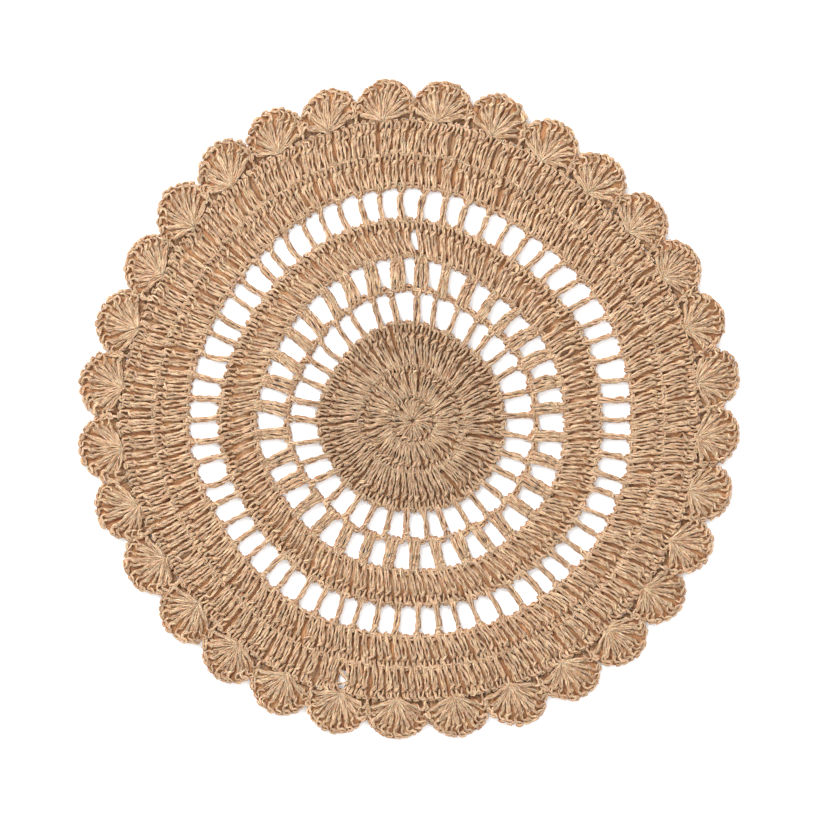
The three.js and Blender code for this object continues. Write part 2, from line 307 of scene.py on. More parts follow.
def place(points):
    """The real place of points on the even mat, given as x, y and level: the turn shifts, the radius
    grows by the waves, and the whole round drifts."""
    radius = np.hypot(points[..., 0], points[..., 1])
    turn = np.arctan2(points[..., 1], points[..., 0])
    angle = open_slots(radius, turn)
    angle = angle + spacing_shift(radius, angle)
    reach = radius.copy()
    for lobes, size, direction, start, full in WAVES:
        growth = np.clip((radius - start) / (full - start), 0, 1)
        reach += growth * size * np.cos(lobes * (angle - np.radians(direction)))
    x = DRIFT_X + DRIFT_X_GROWTH * radius + reach * np.cos(angle)
    y = DRIFT_Y + DRIFT_Y_GROWTH * radius + reach * np.sin(angle)
    return np.stack([x, y, points[..., 2]], axis=-1)


def polar(radius, turn):
    """x and y from a radius and a turn in radians."""
    radius, turn = np.broadcast_arrays(radius, turn)
    return np.stack([radius * np.cos(turn), radius * np.sin(turn)], axis=-1)


def with_level(spots, level):
    """Points from the spots' x and y and their level, or one level for them all."""
    return np.concatenate([spots, np.broadcast_to(level, spots.shape[:-1])[..., None]], axis=-1)


def even_turns(count, first=0.0):
    """Turns in radians at an even pitch, from the first one in degrees."""
    return np.radians(first) + np.arange(count) * TAU / count


def between(turns, steps):
    """Each turn and the evenly spaced ones from it to the next, steps in all for each."""
    onward = np.append(turns[1:], turns[0] + TAU)
    share = np.arange(steps) / steps
    return (turns[:, None] + (onward - turns)[:, None] * share).ravel()


def scallop_arc():
    """The arc through a scallop's tip and both valleys: its radius, the distance of its centre from
    the mat's middle, and its angle from the tip to a valley."""
    half_width = VALLEY * np.pi / SHELLS
    rise = TIP - VALLEY
    arc = (rise**2 + half_width**2) / (2 * rise)
    return arc, TIP - arc, np.arcsin(half_width / arc)


def outline_centre():
    """The middle of the mat's outline, which is moved to the origin. The outline is every scallop's
    arc, with its own slack at the tip."""
    arc, centre, spread = scallop_arc()
    shell = np.arange(SHELLS)[:, None]
    angle = np.linspace(-spread, spread, 41)[None]
    slack = TIP_SLACK * scatter(shell, TIP_SEED)
    radius = centre + (arc + slack) * np.cos(angle)
    turn = np.radians(FIRST_SHELL) + shell * TAU / SHELLS + arc * np.sin(angle) / VALLEY
    outline = place(with_level(polar(radius, turn), 0.0))
    low, high = outline.min((0, 1)), outline.max((0, 1))
    return (low + high) / 2


CENTRE = outline_centre()

# One tall stitch, as its yarn runs: across in shares of the stitch's width, up in shares of its
# height, along in millimetres past that height, and level. It starts at the last stitch's head,
# wraps the post once, is drawn up from the base in two legs, and ends in the loops of the head.
TALL_STITCH = np.array([
    (-0.50, 1.00, 0.8, 2.4),
    (-0.28, 0.90, 0.0, 1.2),
    (-0.33, 0.76, 0.0, 1.8),
    (-0.05, 0.67, 0.0, 3.6),
    (0.32, 0.56, 0.0, 1.7),
    (0.17, 0.31, 0.0, 0.9),
    (0.02, 0.00, -0.5, 1.0),
    (-0.12, 0.00, -1.9, 1.5),
    (-0.12, 0.01, 0.0, 3.4),
    (-0.21, 0.30, 0.0, 2.9),
    (-0.15, 0.59, 0.0, 2.9),
    (0.01, 0.74, 0.0, 2.4),
    (0.16, 0.58, 0.0, 2.9),
    (0.20, 0.31, 0.0, 2.9),
    (0.12, 0.01, 0.0, 3.4),
    (0.11, 0.00, -1.9, 1.5),
    (0.00, 0.02, -0.3, 1.0),
    (-0.14, 0.34, 0.0, 0.9),
    (-0.30, 0.64, 0.0, 1.6),
    (-0.24, 0.82, 0.0, 2.9),
    (-0.14, 1.00, -0.8, 3.1),
    (0.36, 1.00, -0.7, 3.2),
    (0.52, 1.00, 0.5, 2.9),
    (0.12, 1.00, 0.9, 2.9),
    (0.26, 0.83, 0.0, 2.7),
    (0.30, 0.70, 0.0, 1.6),
    (0.24, 0.84, 0.0, 1.0),
])
# Points further back along than this are the loops at the base.
LOOPS_BEHIND = -1

# The same for a post of a lace round, but across in millimetres: it's drawn in at the middle, and its
# foot and its head spread over the chains that they hold.
BAR_STITCH = np.array([
    (-2.2, 1.00, 0.6, 2.4),
    (-1.2, 0.90, 0.0, 1.5),
    (-0.9, 0.79, 0.0, 1.9),
    (0.0, 0.74, 0.0, 3.5),
    (0.9, 0.68, 0.0, 1.8),
    (0.7, 0.38, 0.0, 1.1),
    (0.3, 0.00, -0.6, 1.0),
    (-0.6, 0.00, -1.9, 2.5),
    (-0.9, 0.02, 0.0, 3.5),
    (-0.7, 0.30, 0.0, 2.8),
    (-0.6, 0.60, 0.0, 2.8),
    (0.0, 0.75, 0.0, 2.4),
    (0.6, 0.60, 0.0, 2.8),
    (0.7, 0.30, 0.0, 2.8),
    (0.9, 0.02, 0.0, 3.5),
    (0.6, 0.00, -1.9, 2.5),
    (0.0, 0.02, -0.4, 1.0),
    (-0.7, 0.36, 0.0, 1.1),
    (-0.8, 0.70, 0.0, 1.8),
    (-0.5, 0.84, 0.0, 2.9),
    (-1.3, 1.00, -0.9, 3.1),
    (1.2, 1.00, -0.9, 3.2),
    (2.2, 1.00, 0.4, 2.9),
    (1.0, 1.00, 0.9, 2.9),
    (0.5, 0.80, 0.0, 2.6),
    (1.2, 0.84, 0.0, 1.6),
])

# And for the stitches of the shells, whose base loops crowd into one hole and don't show, and whose
# heads lie along the rim.
FAN_STITCH = np.array([
    (-0.34, 0.86, 0.0, 1.6),
    (-0.02, 0.78, 0.0, 3.3),
    (0.28, 0.72, 0.0, 1.6),
    (0.12, 0.36, 0.0, 0.9),
    (0.00, 0.02, 0.0, 1.3),
    (-0.15, 0.00, 0.0, 3.2),
    (-0.20, 0.42, 0.0, 3.0),
    (0.00, 0.79, 0.0, 2.6),
    (0.20, 0.42, 0.0, 3.0),
    (0.15, 0.00, 0.0, 3.2),
    (0.00, 0.03, 0.0, 1.2),
    (-0.16, 0.45, 0.0, 0.9),
    (-0.27, 0.82, 0.0, 2.5),
    (-0.20, 0.97, -0.5, 3.0),
    (0.25, 1.00, -0.8, 3.1),
    (0.64, 1.00, 0.0, 2.9),
    (0.36, 1.00, 0.85, 2.8),
    (-0.10, 1.00, 0.85, 2.6),
    (-0.12, 0.97, 0.0, 1.6),
    (0.34, 0.93, 0.0, 1.3),
])

# One chain stitch: ahead in shares of its length, out to the side in millimetres, and level.
CHAIN_STITCH = np.array([
    (0.00, 0.0, 2.1),
    (0.35, -1.1, 2.5),
    (0.90, -1.0, 2.4),
    (1.20, 0.0, 2.1),
    (0.90, 1.0, 2.4),
    (0.35, 1.1, 2.5),
    (0.05, 0.3, 1.6),
    (0.50, 0.0, 0.9),
])


def tall_stitches(
    base, top, base_width, top_width, rng, template=TALL_STITCH, hook=0.0, bow=0.0, slack=STITCH_SLACK,
):
    """The yarn's points in tall stitches: each runs from its base to its top, at the template's shares
    of that line and of the width, which blends from base_width to top_width. hook draws the loops
    at the base further back round what they hold, bow bends the posts to one side, and every post is
    open or shut at its middle by a normal scatter. Every point is off by a normal scatter of slack."""
    across, up, along, level = template.T
    line = top - base
    unit = line / np.linalg.norm(line, axis=-1, keepdims=True)
    side = np.stack([-unit[:, 1], unit[:, 0]], axis=-1)
    width = np.asarray(base_width)[..., None] * (1 - up) + np.asarray(top_width)[..., None] * up
    middle = 4 * up * (1 - up)
    opening = 1 + rng.normal(0, OPENING, (len(base), 1)).clip(*OPENING_RANGE) * middle
    reach = along - hook * (along < LOOPS_BEHIND)
    bend = np.asarray(bow)[..., None] * middle
    flat = (
        base[:, None]
        + line[:, None] * up[None, :, None]
        + unit[:, None] * reach[None, :, None]
        + side[:, None] * (across * width * opening + bend)[..., None]
    )
    points = with_level(flat, level)
    return points + rng.normal(0, slack, points.shape) * SLACK_SHARES


def chain_stitches(start, end, radius, count, rng, bow):
    """The yarn's points in count chain stitches from one turn to the next, at this radius and further
    out by bow halfway."""
    ahead, out, level = CHAIN_STITCH.T
    steps = ((np.arange(count)[:, None] + ahead) / count).ravel()
    turn = start[:, None] + (end - start)[:, None] * steps
    reach = radius + np.tile(out, count) + bow * 4 * steps * (1 - steps)
    points = with_level(polar(reach, turn), np.tile(level, count))
    return points + rng.normal(0, CHAIN_SLACK, points.shape) * SLACK_SHARES


def yarn_path(points):
    """A smooth closed path through the points: a cubic on each span, whose end slopes are the line
    between its neighbours in chord lengths. A bent span is cut into finer steps."""
    back, ahead = np.roll(points, 1, 0), np.roll(points, -1, 0)
    chord = np.linalg.norm(ahead - points, axis=1)
    slope = (ahead - back) / (chord + np.roll(chord, 1))[:, None]
    heading = (ahead - points) / chord[:, None]
    corner = np.arccos(np.clip((heading * np.roll(heading, 1, 0)).sum(1), -1, 1))
    bend = np.maximum(corner, np.roll(corner, -1))
    step = np.where(bend > BEND, FINE_STEP, COARSE_STEP)
    count = np.ceil(chord / step).astype(int).clip(1, MOST_STEPS)
    span = np.repeat(np.arange(len(points)), count)
    first = np.repeat(np.cumsum(count) - count, count)
    s = ((np.arange(len(span)) - first) / count[span])[:, None]
    start, end = points[span], ahead[span]
    leave = slope[span] * chord[span, None]
    arrive = np.roll(slope, -1, 0)[span] * chord[span, None]
    return (
        (2 * s**3 - 3 * s**2 + 1) * start
        + (s**3 - 2 * s**2 + s) * leave
        + (3 * s**2 - 2 * s**3) * end
        + (s**3 - s**2) * arrive
    )


def carried_frames(tangent):
    """Two directions square to a closed path at each point, and the angle that turns them so that
    they don't spin: each point's own pair is compared with the last pair carried over by the smallest
    turn, and the sum of those differences turns it back. What is left over at the close is shared out
    evenly."""
    lies_flat = np.abs(tangent[:, 2:3]) < 0.8
    helper = np.where(lies_flat, (0.0, 0.0, 1.0), (1.0, 0.0, 0.0))
    normal = np.cross(tangent, helper)
    normal /= np.linalg.norm(normal, axis=1, keepdims=True)
    other = np.cross(tangent, normal)
    onward, onward_normal, onward_other = (np.roll(rows, -1, 0) for rows in (tangent, normal, other))
    axis = np.cross(tangent, onward)
    cosine = (tangent * onward).sum(1, keepdims=True)
    dot = (axis * normal).sum(1, keepdims=True)
    carried = normal * cosine + np.cross(axis, normal) + axis * dot / (1 + cosine).clip(0.05)
    turned = np.arctan2((carried * onward_other).sum(1), (carried * onward_normal).sum(1))
    total = turned.sum()
    left_over = total - TAU * np.round(total / TAU)
    share = np.arange(len(turned)) / len(turned)
    angle = np.concatenate([[0], np.cumsum(turned)[:-1]]) - left_over * share
    return normal, other, angle


def yarn_rings(path, rng):
    """The section's corners at every step of a closed path, and how far along each step lies. The
    section is turned slowly, and it swells and thins along the yarn as three slow sine waves."""
    tangent = np.roll(path, -1, 0) - np.roll(path, 1, 0)
    tangent /= np.linalg.norm(tangent, axis=1, keepdims=True)
    normal, other, angle = carried_frames(tangent)
    step = np.linalg.norm(np.roll(path, -1, 0) - path, axis=1)
    along = np.concatenate([[0], np.cumsum(step)])
    turns = np.round(along[-1] / YARN_TWIST)
    angle = angle + TAU * turns * along[:-1] / along[-1]
    swell = sum(size * np.sin(TAU * along[:-1] / wave + rng.uniform(0, TAU)) for size, wave in SWELLS)
    cosine, sine = np.cos(angle)[:, None], np.sin(angle)[:, None]
    flat = SECTION[None] * YARN * (1 + swell[:, None, None])
    rings = (
        path[:, None]
        + normal[:, None] * (flat[..., 0] * cosine - flat[..., 1] * sine)[..., None]
        + other[:, None] * (flat[..., 0] * sine + flat[..., 1] * cosine)[..., None]
    )
    return rings, along


def tube_faces(rings, along, closed):
    """The quads between neighbouring rings and, where the tube isn't closed, two over each end. With
    them go their corners in the yarn's own map: the share of the way round, and the length along."""
    count, sides = rings.shape[:2]
    ring = np.arange(count)[:, None] * sides
    onward = np.roll(ring, -1, 0)
    if not closed:
        ring, onward = ring[:-1], onward[:-1]
    near, far = along[:len(ring), None], along[1:len(ring) + 1, None]
    side = np.arange(sides)[None]
    beside = (side + 1) % sides
    faces = np.stack([ring + side, ring + beside, onward + beside, onward + side], axis=-1)
    faces = faces.reshape(-1, 4)
    low = np.broadcast_to(side / sides, (len(ring), sides))
    near, far = np.broadcast_to(near, low.shape), np.broadcast_to(far, low.shape)
    high = low + 1 / sides
    corners = np.stack([low, near, high, near, high, far, low, far], axis=-1).reshape(-1, 2)
    if closed:
        return faces, corners
    last = (count - 1) * sides
    ends = np.array([(3, 2, 1, 0), (5, 4, 3, 0), (0, 1, 2, 3), (0, 3, 4, 5)])
    ends[2:] += last
    lengths = np.where(ends < last, along[0], along[count - 1])
    shares = np.stack([(ends % sides) / sides, lengths], axis=-1)
    return np.concatenate([faces, ends]), np.concatenate([corners, shares.reshape(-1, 2)])


def loose_fibres(path, along, count, rng):
    """Stray fibres: thin three-sided spikes that cross the yarn at a slant, so that their ends stand
    off it. Each bends as a parabola over its length, and its last ring is nearly a point."""
    at = rng.integers(0, len(path), count)
    tangent = (np.roll(path, -1, 0) - np.roll(path, 1, 0))[at]
    tangent /= np.linalg.norm(tangent, axis=1, keepdims=True)
    aside = np.cross(tangent, rng.normal(0, 1, (count, 3)) + (0, 0, FIBRE_FLAT))
    aside /= np.linalg.norm(aside, axis=1, keepdims=True)
    tilt = rng.normal(0, FIBRE_TILT, (count, 1))
    heading = tangent * np.cos(tilt) + aside * np.sin(tilt)
    lift = np.cross(tangent, aside)
    lift *= np.where(lift[:, 2:] < 0, -1, 1)
    length = rng.uniform(*FIBRE_LENGTH, (count, 1))
    bend = rng.normal(0, FIBRE_BEND, (count, 1)) * length
    start = path[at] + lift * YARN * FIBRE_OUT - heading * length / 2
    share, width = FIBRE_RINGS.T
    centre = (
        start[:, None]
        + heading[:, None] * (length * share)[..., None]
        + aside[:, None] * (bend * 4 * share * (1 - share))[..., None]
    )
    sides = 3
    thick = FIBRE * width
    corner = np.arange(sides) * TAU / sides
    across = np.cross(heading, lift)
    rings = centre[:, :, None] + thick[None, :, None, None] * (
        np.cos(corner)[None, None, :, None] * lift[:, None, None]
        + np.sin(corner)[None, None, :, None] * across[:, None, None]
    )
    spans = len(share) - 1
    first = np.arange(count)[:, None] * len(share) * sides
    base = first[..., None] + np.arange(spans)[None, :, None] * sides
    side = np.arange(sides)[None, None]
    beside = (side + 1) % sides
    onward = base + sides
    quads = np.stack([base + side, base + beside, onward + beside, onward + side], axis=-1)
    quads = quads.reshape(-1, 4)
    ends = np.concatenate([first + (2, 1, 0), first + spans * sides + (0, 1, 2)])
    spot = along[at] + rng.uniform(0, FIBRE_STRIDE, count)
    quad_spots = np.repeat(spot, spans * sides * 4)
    end_spots = np.repeat(np.tile(spot, 2), 3)
    quad_map = np.stack([np.full(len(quad_spots), FIBRE_SHARE), quad_spots], axis=-1)
    end_map = np.stack([np.full(len(end_spots), FIBRE_SHARE), end_spots], axis=-1)
    return rings.reshape(-1, 3), quads, ends, quad_map, end_map


def add_object(name, data):
    """A new object in the scene, at the origin."""
    thing = bpy.data.objects.new(name, data)
    bpy.context.scene.collection.objects.link(thing)
    return thing


def add_piece(name, points, faces, material, corners):
    """A piece of the mat, tied to its body, in the given material, and with the solid that it stands
    for hidden: a smooth mesh at the origin, its points turned from millimetres to metres.
    places in the twine's map as arrays in the same order."""
    mesh = bpy.data.meshes.new(name)
    mesh.from_pydata((points * MM).tolist(), [], [face for part in faces for face in part.tolist()])
    layer = mesh.uv_layers.new(name="yarn")
    layer.data.foreach_set("uv", np.concatenate(corners).astype(np.float32).ravel())
    mesh.shade_smooth()
    mesh.materials.append(material)
    piece = add_object(name, mesh)
    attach(piece, BODY)
    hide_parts(NODE)
    return piece


def add_yarn(names, runs, material, seed):
    """A round, or a few rounds, as pieces: a tube for each of its closed runs of points on the even
    mat, with its stray fibres. Under more than one name the only run is cut into as many pieces."""
    rng = np.random.default_rng(seed)
    whole = len(names) == 1
    strands = []
    for number, run in enumerate(runs):
        path = yarn_path(place(run.reshape(-1, 3)) - CENTRE)
        rings, along = yarn_rings(path, rng)
        along = along + (seed * 10 + number) * YARN_STRIDE
        share = np.linspace(0, len(path), len(names) + 1).astype(int)
        for low, high in zip(share[:-1], share[1:]):
            kept = np.arange(low, high if whole else high + 1) % len(path)
            strands.append((path[kept], rings[kept], along[low:low + len(kept) + 1]))
    pieces = []
    for name in names:
        parts = strands if whole else [strands.pop(0)]
        points, quads, ends, quad_maps, end_maps, count = [], [], [], [], [], 0
        for path, rings, along in parts:
            faces, corners = tube_faces(rings, along, whole)
            points.append(rings.reshape(-1, 3))
            quads.append(faces + count)
            quad_maps.append(corners)
            count += len(points[-1])
            fibres = int((along[-1] - along[0]) * FIBRES_PER_MM)
            hairs, hair_quads, hair_ends, quad_map, end_map = loose_fibres(path, along, fibres, rng)
            points.append(hairs)
            quads.append(hair_quads + count)
            quad_maps.append(quad_map)
            ends.append(hair_ends + count)
            end_maps.append(end_map)
            count += len(hairs)
        points = np.concatenate(points)
        points[:, 2] = np.maximum(points[:, 2], 0.0)
        pieces.append(add_piece(name, points, quads + ends, material, quad_maps + end_maps))
    return pieces


def centre_ring(rng):
    """The ring that the first round is worked into: two turns of yarn a little inside its feet. Their
    level is one whole sine wave, so that one turn lies above the other."""
    steps = 24
    inset, middle_level, rise = 0.6, 1.6, 0.7
    turn = np.arange(2 * steps) / steps * TAU
    radius = CENTRE_RING - inset + rng.normal(0, RING_STRAY, len(turn))
    return with_level(polar(radius, turn), middle_level + rise * np.sin(turn / 2))


def close_round(middle_turns, inner, outer, rng, lean, uneven=0.3, pull=0.0, hook=0.0):
    """Tall stitches side by side all round. lean is how far their tops lie ahead, in degrees, uneven
    how far their feet and heads stray along the round, pull how far in each one's foot is drawn,
    and hook how much further back it reaches round what it holds."""
    count = len(middle_turns)
    pitch = TAU / count
    ahead = (outer - inner) * np.tan(np.radians(lean)) / ((inner + outer) / 2)
    base = polar(inner - pull, middle_turns - ahead / 2 + rng.normal(0, uneven, count) / inner)
    top_turn = middle_turns + ahead / 2 + rng.normal(0, uneven, count) / outer
    top = polar(outer + rng.normal(0, ROUND_HEADS, count), top_turn)
    bow = ROUND_BOW + rng.normal(0, ROUND_BOW_STRAY, count)
    widths = np.full(count, inner * pitch), np.full(count, outer * pitch)
    return tall_stitches(base, top, *widths, rng, hook=hook, bow=bow)


def lace_turns(lace):
    """Where the posts or clusters of a lace round stand."""
    number = np.arange(lace["bars"])
    middle = (lace["inner"] + lace["outer"]) / 2
    turn = np.radians(lace["first"]) + (number - 0.5) * TAU / lace["bars"]
    return turn + lace["shift"] * scatter(number, lace["seed"]) / middle


def lace_widths(lace):
    """How wide each of them is, as a share of the usual width."""
    return 1 + lace["uneven"] * scatter(np.arange(lace["bars"]), lace["seed"] + 10)


def lace_chains(lace, radius, head_turn, half, rng):
    """The chain stitches from each head to the next. half is the angle that half a head takes up."""
    end = np.roll(head_turn - half, -1)
    end[-1] += TAU
    return chain_stitches(head_turn + half, end, radius, lace["chains"], rng, lace["bow"])


def posts_and_chains(lace, rng):
    """A lace round of single posts, with chain stitches from each head to the next."""
    turn = lace_turns(lace)
    count = len(turn)
    middle = (lace["inner"] + lace["outer"]) / 2
    lean = rng.normal(0, POST_LEAN, count)
    base = polar(lace["inner"], turn - lean / 2 / middle)
    head_turn = turn + lean / 2 / middle
    top = polar(lace["outer"] + rng.normal(0, LACE_HEADS, count), head_turn)
    width = lace_widths(lace)
    bow = rng.normal(POST_BOW, POST_BOW_STRAY, count)
    posts = tall_stitches(base, top, width, width, rng, template=BAR_STITCH, bow=bow)
    half = POST_HEAD * width / lace["outer"]
    return np.concatenate([posts, lace_chains(lace, lace["outer"], head_turn, half, rng)], axis=1)


def clusters_and_chains(lace, rng):
    """A lace round of clusters: three tall stitches over one stretch of the chain ring, spread a
    little at the foot and drawn together at the head, then chain stitches to the next cluster."""
    turn = lace_turns(lace)
    count = len(turn)
    foot = CLUSTER_FOOT * lace_widths(lace)
    head = CLUSTER_HEAD * lace_widths(lace)
    fan = rng.normal(0, CLUSTER_FAN, count)
    parts = []
    for step in (-1, 0, 1):
        base = polar(lace["inner"], turn + (step * foot + fan) / lace["inner"])
        head_turn = turn + (step * head - fan) / lace["outer"]
        top = polar(lace["outer"] + rng.normal(0, LACE_HEADS, count), head_turn)
        bow = rng.normal(0, CLUSTER_BOW_STRAY, count)
        widths = foot * CLUSTER_FOOT_WIDTH, head
        stitches = tall_stitches(base, top, *widths, rng, hook=2.1, bow=bow, slack=CLUSTER_SLACK)
        parts.append(stitches)
    half = (head + CLUSTER_HEAD_END) / lace["outer"]
    parts.append(lace_chains(lace, lace["outer"] + CLUSTER_CHAINS, turn, half, rng))
    return np.concatenate(parts, axis=1)


def fan_squeeze():
    """How much each shell's stitches are pushed together clockwise of straight out, as a share of their
    directions. It leaves a gap beside the next shell."""
    return SQUEEZE + SQUEEZE_RANGE * scatter(np.arange(SHELLS), SQUEEZE_SEED)


def fan_reach(angle, inset):
    """How far from a shell's base, in this direction, the scallop lies less the inset, or the line
    halfway to the next shell where that comes first."""
    arc, centre, _ = scallop_arc()
    rise = centre - SHELL_BASE
    to_rim = rise * np.cos(angle) + np.sqrt((arc - inset) ** 2 - (rise * np.sin(angle)) ** 2)
    half_width = VALLEY * np.pi / SHELLS - inset / 2
    return np.minimum(to_rim, half_width / np.abs(np.sin(angle)).clip(1e-6))


def shell_edging(rng):
    """The edging: in each shell tall stitches fan out from one stitch of the last round to the
    scallop, or to the line halfway to the next shell where that comes first. A slip stitch holds the
    yarn down between two shells."""
    middle = even_turns(SHELLS, FIRST_SHELL)
    out, beside = polar(1.0, middle), polar(1.0, middle + np.pi / 2)
    slack = TIP_SLACK * scatter(np.arange(SHELLS), TIP_SEED)
    base_middle = polar(SHELL_BASE, middle)
    angles = np.radians(FAN_TURNS)
    lifts = np.resize(FAN_LIFTS, len(angles))
    parts = []
    for angle, pitch, lift in zip(angles, np.gradient(angles), lifts):
        squeeze = fan_squeeze() if angle < 0 else 1.0
        turned = angle * squeeze + rng.normal(0, SHELL_TURN, SHELLS)
        reach = fan_reach(turned, RIM_INSET) + slack * np.cos(turned) ** 2
        direction = out * np.cos(turned)[:, None] + beside * np.sin(turned)[:, None]
        base = base_middle + direction * FAN_START
        top = base_middle + direction * (reach[:, None] + rng.normal(0, SHELL_HEADS, (SHELLS, 1)))
        bow = rng.normal(0, SHELL_BOW_STRAY, SHELLS)
        width = reach * pitch * squeeze
        stitches = tall_stitches(base, top, FAN_FOOT, width, rng, template=FAN_STITCH, bow=bow)
        parts.append(stitches + (0, 0, lift))
    anchor = []
    for radius, level in SLIP_STITCH:
        spot = polar(radius, middle + TAU / SHELLS / 2)
        anchor.append(with_level(spot, level))
    parts.append(np.stack(anchor, axis=1))
    return np.concatenate(parts, axis=1)


def make_yarns(material):
    """Every round of the mat, from the middle out. The close rounds either side of the third lace
    round stand in step with its posts."""
    rng = np.random.default_rng(7)
    posts = lace_turns(THIRD_LACE)
    sag = np.tile(FOOT_SAG, len(posts)) + rng.normal(0, SAG_STRAY, len(FOOT_SAG) * len(posts))
    first_turns, second_turns, third_turns = (even_turns(count) for count in DISC_STITCHES)
    middle_lean, middle_radius = 13, 100
    middle_ahead = (MIDDLE_HEADS - CLUSTER_HEADS) * np.tan(np.radians(middle_lean)) / middle_radius
    middle_turns = between(posts, MIDDLE_STITCHES_PER_POST) - middle_ahead / 2
    outer_turns = between(posts, OUTER_STITCHES_PER_POST)
    last_turns = even_turns(LAST_STITCHES, FIRST_SHELL)
    rounds = (
        (["middle_rounds"], [
            centre_ring(rng),
            close_round(first_turns, CENTRE_RING, FIRST_HEADS, rng, lean=4, uneven=0.1, hook=-0.4),
            close_round(second_turns, FIRST_HEADS, SECOND_HEADS, rng, lean=7, hook=0.5),
            close_round(third_turns, SECOND_HEADS, DISC_HEADS, rng, lean=7, hook=0.5),
        ]),
        (["first_lace"], [posts_and_chains(FIRST_LACE, rng)]),
        (["cluster_lace"], [clusters_and_chains(CLUSTER_LACE, rng)]),
        (["middle_close_round"], [
            close_round(middle_turns, MIDDLE_START, MIDDLE_HEADS, rng, lean=middle_lean, hook=0.3),
        ]),
        (["third_lace"], [posts_and_chains(THIRD_LACE, rng)]),
        (["outer_close_round"], [
            close_round(
                outer_turns, OUTER_START, OUTER_MIDDLE, rng, lean=9, uneven=0.45, pull=sag, hook=0.5,
            ),
        ]),
        (["last_close_round"], [
            close_round(last_turns, OUTER_MIDDLE, SHELL_BASE, rng, lean=2, uneven=0.45, hook=0.4),
        ]),
        (["shells_one", "shells_two"], [shell_edging(rng)]),
    )
    pieces = []
    for seed, (names, runs) in enumerate(rounds, start=1):
        pieces += add_yarn(names, runs, material, seed)
    return pieces


def slab(flat, quads, thick, high):
    """A closed slab over flat faces: they are its top, their mirror its bottom, and every edge that
    only one of them has gets a wall."""
    count = len(flat)
    level = np.concatenate([high, high - thick])[:, None]
    points = np.concatenate([np.tile(flat, (2, 1)), level], axis=-1)
    edges = np.stack([quads, np.roll(quads, -1, 1)], axis=-1).reshape(-1, 2)
    names = edges.min(1) * count + edges.max(1)
    _, first, times = np.unique(names, return_index=True, return_counts=True)
    rim = edges[first[times == 1]]
    walls = np.stack([rim[:, 1], rim[:, 0], rim[:, 0] + count, rim[:, 1] + count], axis=-1)
    return points, np.concatenate([quads, quads[:, ::-1] + count, walls])


def bed_level(share):
    """The bed's top at a share of a round's height: raised under the posts, low under the heads."""
    rise = np.interp(share, (0.05, 0.2, 0.5, 0.7), (0, 1, 1, 0))
    return BED_HIGH + (BED_POSTS - BED_HIGH) * rise


def close_ring(inner, outer, rise):
    """Points on a grid over a round, all round and from its feet to its heads, with their level. rise
    is how much of the bed's rise under the posts it has."""
    around = int(TAU * outer / BED_CELL)
    share = np.linspace(0, 1, int((outer - inner) / BED_CELL) + 2)[:, None]
    spots = polar(inner + (outer - inner) * share, even_turns(around)[None])
    return with_level(spots, BED_HIGH + (bed_level(share) - BED_HIGH) * rise)


def shell_fill(turn):
    """Points on a grid over one shell, from its base to a little inside its rim, with their level. It
    lies low beside the shell's outermost stitches."""
    angle = np.radians(FAN_DIRECTIONS)[None]
    share = FAN_SHARES[:, None]
    reach = share * fan_reach(angle, FAN_INSET)
    out, aside = SHELL_BASE + reach * np.cos(angle), reach * np.sin(angle)
    spots = polar(1.0, turn) * out[..., None] + polar(1.0, turn + np.pi / 2) * aside[..., None]
    beside = np.interp(np.abs(angle), np.radians(FAN_SINKS), (0, 1))
    raised = bed_level(np.minimum(share, FAN_LEVEL_SHARE))
    return with_level(spots, BED_SUNK + (raised - BED_SUNK) * (1 - beside))


def make_bed(material):
    """The strands inside the close rounds, which only show as brown shade between the others: a thin
    slab among them, as a ring in each close round and a fan under each shell, whose colour carries
    painted shade. It lies low where a slot pulls its cells apart, and those pulled widest are left out."""
    grids = [(close_ring(*edges), True) for edges in BED_ROUNDS]
    grids += [(shell_fill(turn), False) for turn in even_turns(SHELLS, FIRST_SHELL)]
    flat, level, quads, count = [], [], [], 0
    for grid, closed in grids:
        rows, columns = grid.shape[:2]
        spots = place(grid)[..., :2] - CENTRE[:2]
        index = np.arange(rows * columns).reshape(rows, columns)
        beside = np.roll(index, -1, 1)
        cells = np.stack([index[:-1], index[1:], beside[1:], beside[:-1]], axis=-1)
        wide = np.linalg.norm(np.roll(spots, -1, 1) - spots, axis=-1)
        even = np.linalg.norm(np.roll(grid, -1, 1) - grid, axis=-1)
        stretch = wide - even
        narrow = stretch < BED_STRETCH
        keep = narrow[:-1] & narrow[1:]
        if not closed:
            keep[:, -1] = False
        pulled = np.maximum(stretch, np.roll(stretch, 1, 1)) / BED_STRETCH
        sunk = (pulled * BED_SINKS).clip(0, 1)
        flat.append(spots.reshape(-1, 2))
        level.append((grid[..., 2] * (1 - sunk) + BED_SUNK * sunk).ravel())
        quads.append(cells[keep] + count)
        count += rows * columns
    flat, quads, level = (np.concatenate(parts) for parts in (flat, quads, level))
    points, faces = slab(flat, quads, BED_THICK, level)
    used, faces = np.unique(faces, return_inverse=True)
    points, faces = points[used], faces.reshape(-1, 4)
    corner = points[faces.ravel()]
    turn = np.arctan2(corner[:, 1], corner[:, 0])
    # Painted shade: the bed takes the darkened colour of the groove between the plies.
    yarn_map = np.stack([np.full(len(turn), PLY_LINE), turn * BED_GRAIN], axis=-1)
    return add_piece("inner_strands", points, [faces], material, [yarn_map])


def to_linear(hex_colour):
    """An sRGB hex colour as linear red, green and blue, and an alpha of 1."""
    value = np.array([int(hex_colour[i:i + 2], 16) for i in (1, 3, 5)]) / 255
    linear = np.where(value <= 0.04045, value / 12.92, ((value + 0.055) / 1.055) ** 2.4)
    return (*linear, 1.0)


